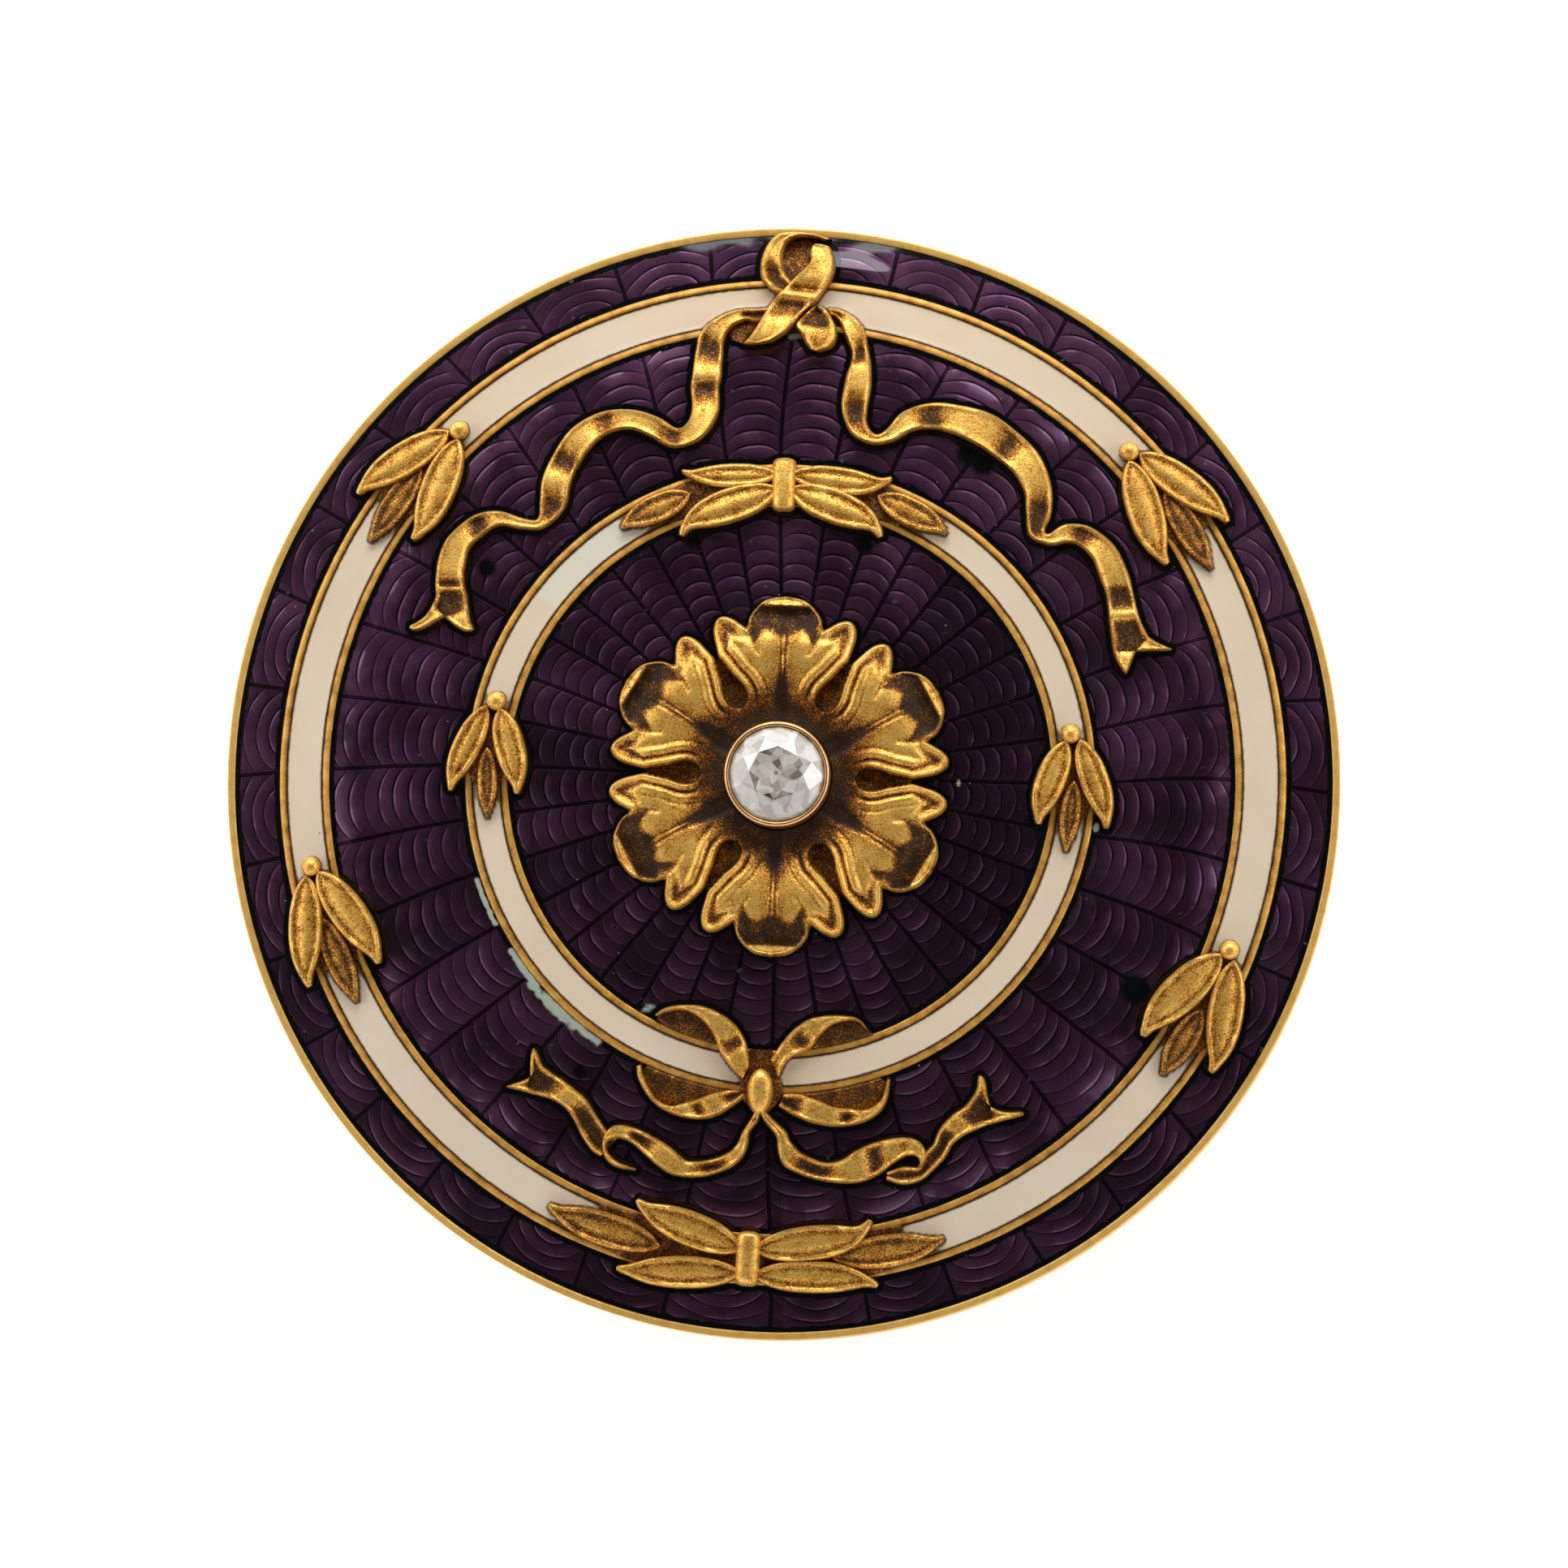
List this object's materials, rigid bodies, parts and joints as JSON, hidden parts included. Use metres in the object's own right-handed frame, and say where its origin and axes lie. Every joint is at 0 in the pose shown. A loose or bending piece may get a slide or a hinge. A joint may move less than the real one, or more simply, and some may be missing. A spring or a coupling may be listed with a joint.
{
  "type": "enamel brooch",
  "caption": "Round domed brooch with purple and cream enamel bands, raised gold ribbons, laurel sprays and a rosette round a set stone, and a pin in its hollow back.",
  "frame": {"origin": "middle of the circle that the rim's foot rests on, at z = 0", "axes": "+Z out of the enamelled face, +Y towards the ribbon knot at the top, +X to the right as seen from the face"},
  "size_m": [0.04, 0.04, 0.0067],
  "materials": {
    "gold_plate": "satin gold, polished along the edges",
    "gold_relief": "matt bloomed gold with bright edges and brown recesses",
    "gold_collet": "polished rose gold",
    "enamel_purple": "translucent vitreous enamel over an engraved wave pattern, glossy",
    "enamel_cream": "opaque vitreous enamel, glossy",
    "diamond": "polished facets"
  },
  "bodies": {
    "root": {"back_plate": "gold_plate", "pin": "gold_plate", "enamel_border": "enamel_purple", "enamel_field": "enamel_purple", "enamel_centre": "enamel_purple", "cream_hoop_outer": "enamel_cream", "cream_hoop_inner": "enamel_cream", "ribbon_knot": "gold_relief", "ribbon_left": "gold_relief", "ribbon_right": "gold_relief", "spray_upper_left": "gold_relief", "spray_upper_right": "gold_relief", "spray_lower_left": "gold_relief", "spray_lower_right": "gold_relief", "spray_bottom": "gold_relief", "spray_top": "gold_relief", "spray_inner_left": "gold_relief", "spray_inner_right": "gold_relief", "bow": "gold_relief", "bow_tail_left": "gold_relief", "bow_tail_right": "gold_relief", "rosette": "gold_relief", "collet": "gold_collet", "diamond": "diamond"}
  },
  "joints": []
}
